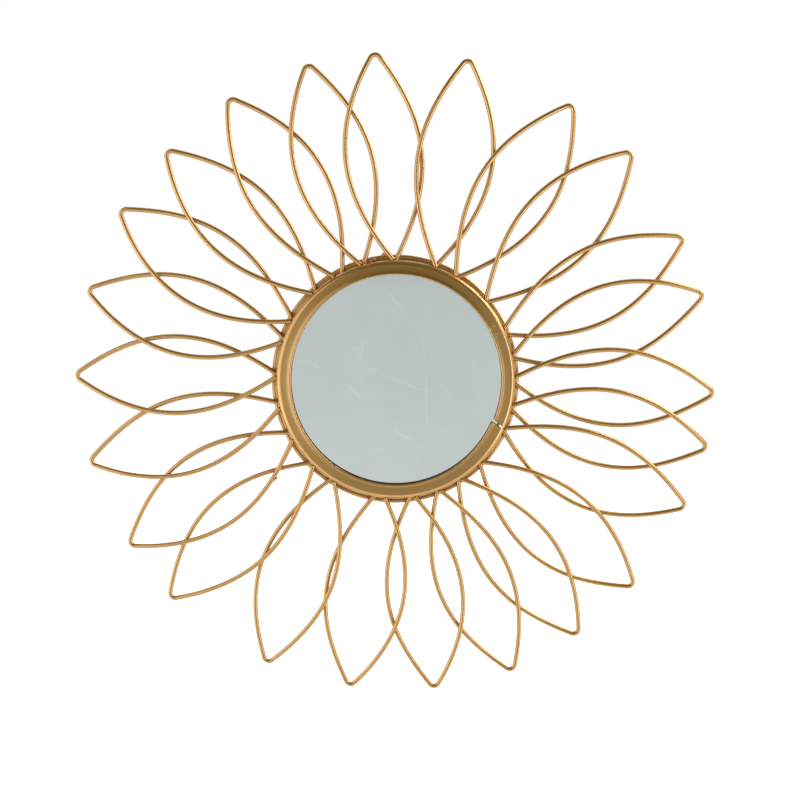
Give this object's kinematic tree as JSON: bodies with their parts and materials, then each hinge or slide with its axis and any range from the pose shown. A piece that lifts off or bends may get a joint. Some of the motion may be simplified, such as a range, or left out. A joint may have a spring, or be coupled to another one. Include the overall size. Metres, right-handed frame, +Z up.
{
  "type": "wall mirror",
  "caption": "Round wall mirror in a rolled metal rim, ringed by overlapping petals of bent wire painted gold.",
  "frame": {"origin": "on the back of the hanger plate, just above its keyhole, where the mirror hangs on the wall", "axes": "+Z up, -Y out of the wall towards the viewer, +X to the viewer's right; the wall is the plane y = 0"},
  "size_m": [0.5991, 0.018, 0.5982],
  "materials": {
    "gold_paint": "satin",
    "silvered_glass": "polished",
    "grey_board": "matt",
    "clip_steel": "zinc plated"
  },
  "bodies": {
    "root": {"rim": "gold_paint", "wire_hoop": "gold_paint", "hanger_plate": "gold_paint", "petal_01": "gold_paint", "petal_02": "gold_paint", "petal_03": "gold_paint", "petal_04": "gold_paint", "petal_05": "gold_paint", "petal_06": "gold_paint", "petal_07": "gold_paint", "petal_08": "gold_paint", "petal_09": "gold_paint", "petal_10": "gold_paint", "petal_11": "gold_paint", "petal_12": "gold_paint", "petal_13": "gold_paint", "petal_14": "gold_paint", "petal_15": "gold_paint", "petal_16": "gold_paint", "petal_17": "gold_paint", "petal_18": "gold_paint", "petal_19": "gold_paint", "petal_20": "gold_paint", "petal_21": "gold_paint", "petal_22": "gold_paint", "petal_23": "gold_paint", "petal_24": "gold_paint", "mirror_glass": "silvered_glass", "back_board": "grey_board", "retaining_clip_1": "clip_steel", "retaining_clip_2": "clip_steel", "retaining_clip_3": "clip_steel", "retaining_clip_4": "clip_steel"}
  },
  "joints": []
}
